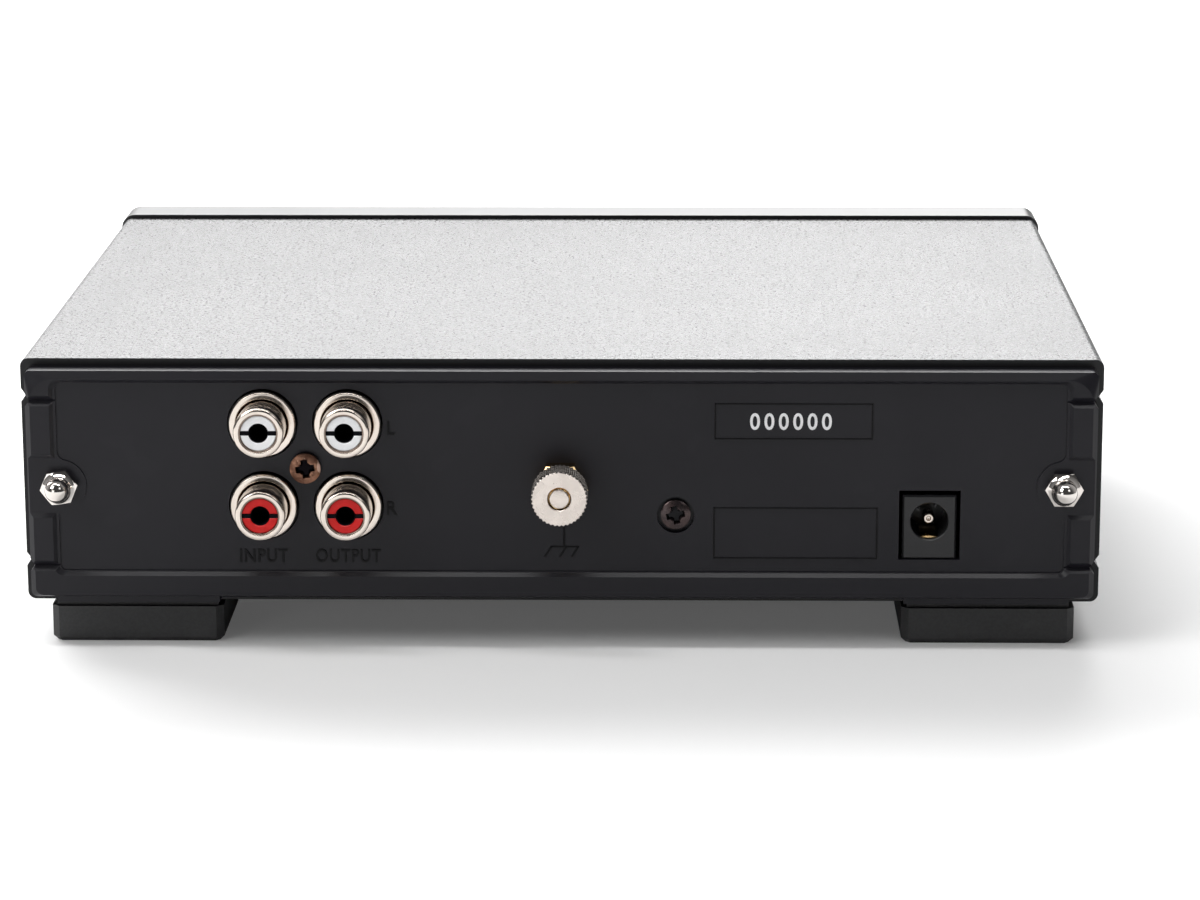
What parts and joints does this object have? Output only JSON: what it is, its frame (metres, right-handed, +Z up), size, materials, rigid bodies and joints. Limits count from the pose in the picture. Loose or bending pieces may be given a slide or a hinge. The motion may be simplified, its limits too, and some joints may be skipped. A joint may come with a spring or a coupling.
{
  "type": "phono preamp",
  "caption": "Low wide case on broad feet with phono sockets, a knurled ground terminal and a power inlet at the back, a push button and indicator at the front.",
  "frame": {"origin": "centre of the whole part's box, on the table that the feet stand on", "axes": "+X to the left of the connector side as one looks at it, so right as seen from the front; +Y towards the rear, where the sockets point; +Z up"},
  "size_m": [0.1814, 0.1546, 0.0497],
  "materials": {
    "sleeve_coat": "fine-textured powder coat",
    "panel_plastic": "satin moulded",
    "fascia_gloss": "polished",
    "foot_rubber": "matte",
    "nickel": "bright plated",
    "zinc_steel": "zinc plated",
    "gold_plate": "plated",
    "copper_plate": "copper plated",
    "black_steel": "black oxide",
    "white_insulator": "moulded",
    "red_insulator": "moulded",
    "black_moulding": "moulded",
    "board_laminate": "solder mask",
    "button_plastic": "polished",
    "natural_plastic": "moulded",
    "clear_lens": "clear",
    "lamp_resin": "cast",
    "capacitor_sleeve": "shrink sleeve",
    "sink_aluminium": "black anodised",
    "film_case": "moulded"
  },
  "bodies": {
    "case": {"case_sleeve": "sleeve_coat", "rear_panel": "panel_plastic", "front_fascia": "fascia_gloss", "tie_rod_left": "zinc_steel", "tie_rod_right": "zinc_steel", "dome_nut_left": "nickel", "dome_nut_right": "nickel", "fascia_inserts": "gold_plate", "foot_rear_left": "foot_rubber", "foot_rear_right": "foot_rubber", "foot_front_left": "foot_rubber", "foot_front_right": "foot_rubber", "main_board": "board_laminate", "board_bracket": "zinc_steel", "socket_block_screw": "copper_plate", "panel_screw": "black_steel", "socket_block": "black_moulding", "ground_stud": "nickel", "ground_base_nut": "gold_plate", "ground_inner_nut": "zinc_steel", "ground_strap": "zinc_steel", "power_inlet_housing": "black_moulding", "power_inlet_pin": "nickel", "power_inlet_leaf": "gold_plate", "switch_body": "black_moulding", "indicator_lens": "clear_lens", "indicator_lamp": "lamp_resin", "rectifier": "black_moulding", "heat_sink": "sink_aluminium", "regulator_positive": "black_moulding", "regulator_negative": "black_moulding", "amplifier_left": "black_moulding", "amplifier_right": "black_moulding", "film_capacitor_left": "film_case", "film_capacitor_right": "film_case", "mute_relay": "natural_plastic", "smoothing_capacitor_1": "capacitor_sleeve", "smoothing_capacitor_2": "capacitor_sleeve", "input_left_shell": "nickel", "input_left_insulator": "white_insulator", "input_left_contact": "gold_plate", "input_right_shell": "nickel", "input_right_insulator": "red_insulator", "input_right_contact": "gold_plate", "output_left_shell": "nickel", "output_left_insulator": "white_insulator", "output_left_contact": "gold_plate", "output_right_shell": "nickel", "output_right_insulator": "red_insulator", "output_right_contact": "gold_plate"},
    "power_button": {"power_button": "button_plastic", "switch_plunger": "natural_plastic"},
    "ground_washer": {"ground_clamp_washer": "nickel"},
    "ground_nut": {"ground_thumb_nut": "nickel"}
  },
  "joints": [
    {"name": "button_press", "type": "slide", "parent": "case", "child": "power_button", "axis": [0, 1, 0], "range_m": [0, 0.0025], "stiffness_N_per_m": 300, "springref_m": -0.003},
    {"name": "nut_travel", "type": "slide", "parent": "case", "child": "ground_washer", "axis": [0, 1, 0], "range_m": [0, 0.0021]},
    {"name": "nut_turn", "type": "hinge", "parent": "ground_washer", "child": "ground_nut", "pos_m": [0, 0.07205, 0.0282], "axis": [0, 1, 0], "range_deg": [0, 1080]}
  ],
  "couplings": [
    {"joint": "nut_turn", "follows": "nut_travel", "rad_per_m": 8976}
  ]
}
